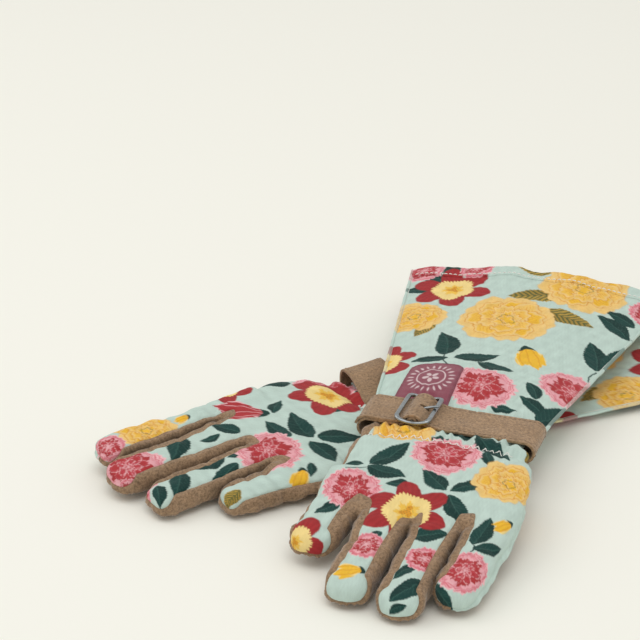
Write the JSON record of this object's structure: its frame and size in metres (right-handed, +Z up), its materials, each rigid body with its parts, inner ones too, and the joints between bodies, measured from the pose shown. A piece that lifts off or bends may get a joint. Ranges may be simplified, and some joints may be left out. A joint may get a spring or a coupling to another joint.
{
  "type": "gauntlet gardening gloves",
  "caption": "Pair of floral cotton and suede gauntlet gardening gloves with buckled wrist straps, laid one across the other, back up.",
  "frame": {"origin": "bottom centre of the pair's bounding box, on the surface it lies on", "axes": "+Z up; the right glove's fingers point roughly along -Y, the left glove's along -X and -Y"},
  "size_m": [0.3499, 0.3641, 0.0343],
  "materials": {
    "printed_cotton": "woven cotton with a floral print",
    "suede": "soft synthetic suede",
    "elastic": "gathered elastic",
    "woven_label": "woven badge",
    "buckle_metal": "nickel plated, satin"
  },
  "bodies": {
    "left_glove": {"left_palm_panel": "suede", "left_back_panel": "printed_cotton", "left_thumb_inner": "suede", "left_thumb_outer": "suede", "left_wrist_band": "printed_cotton", "left_wrist_elastic": "elastic", "left_cuff_hem": "printed_cotton", "left_cuff_back": "printed_cotton", "left_cuff_underside": "printed_cotton", "left_label_patch": "woven_label", "left_strap_tail": "suede", "left_strap_buckle_end": "suede", "left_fourchette_index_middle": "suede", "left_fourchette_middle_ring": "suede", "left_fourchette_ring_pinky": "suede", "left_index_side_strip": "printed_cotton", "left_pinky_side_strip": "suede"},
    "left_buckle": {"left_buckle_frame": "buckle_metal"},
    "left_prong": {"left_buckle_prong": "buckle_metal"},
    "right_glove": {"right_palm_panel": "suede", "right_back_panel": "printed_cotton", "right_thumb_inner": "suede", "right_thumb_outer": "suede", "right_wrist_band": "printed_cotton", "right_wrist_elastic": "elastic", "right_cuff_hem": "printed_cotton", "right_cuff_back": "printed_cotton", "right_cuff_underside": "printed_cotton", "right_label_patch": "woven_label", "right_strap_tail": "suede", "right_strap_buckle_end": "suede", "right_fourchette_index_middle": "suede", "right_fourchette_middle_ring": "suede", "right_fourchette_ring_pinky": "suede", "right_index_side_strip": "printed_cotton", "right_pinky_side_strip": "suede"},
    "right_buckle": {"right_buckle_frame": "buckle_metal"},
    "right_prong": {"right_buckle_prong": "buckle_metal"}
  },
  "joints": [
    {"name": "right_glove_lift", "type": "slide", "parent": "left_glove", "child": "right_glove", "axis": [0, 0, 1], "range_m": [0, 0.12]},
    {"name": "left_buckle_tilt", "type": "hinge", "parent": "left_glove", "child": "left_buckle", "pos_m": [-0.0073, 0.00394, 0.0112], "axis": [-0.83, -0.5577, 0], "range_deg": [0, 3]},
    {"name": "left_prong_lift", "type": "hinge", "parent": "left_buckle", "child": "left_prong", "pos_m": [-0.0073, 0.00394, 0.0112], "axis": [0.83, 0.5577, 0], "range_deg": [0, 12]},
    {"name": "right_buckle_tilt", "type": "hinge", "parent": "right_glove", "child": "right_buckle", "pos_m": [-0.00617, -0.02413, 0.0298], "axis": [0.3239, 0.9461, 0], "range_deg": [0, 3]},
    {"name": "right_prong_lift", "type": "hinge", "parent": "right_buckle", "child": "right_prong", "pos_m": [-0.00617, -0.02413, 0.0298], "axis": [-0.3239, -0.9461, 0], "range_deg": [0, 12]}
  ]
}
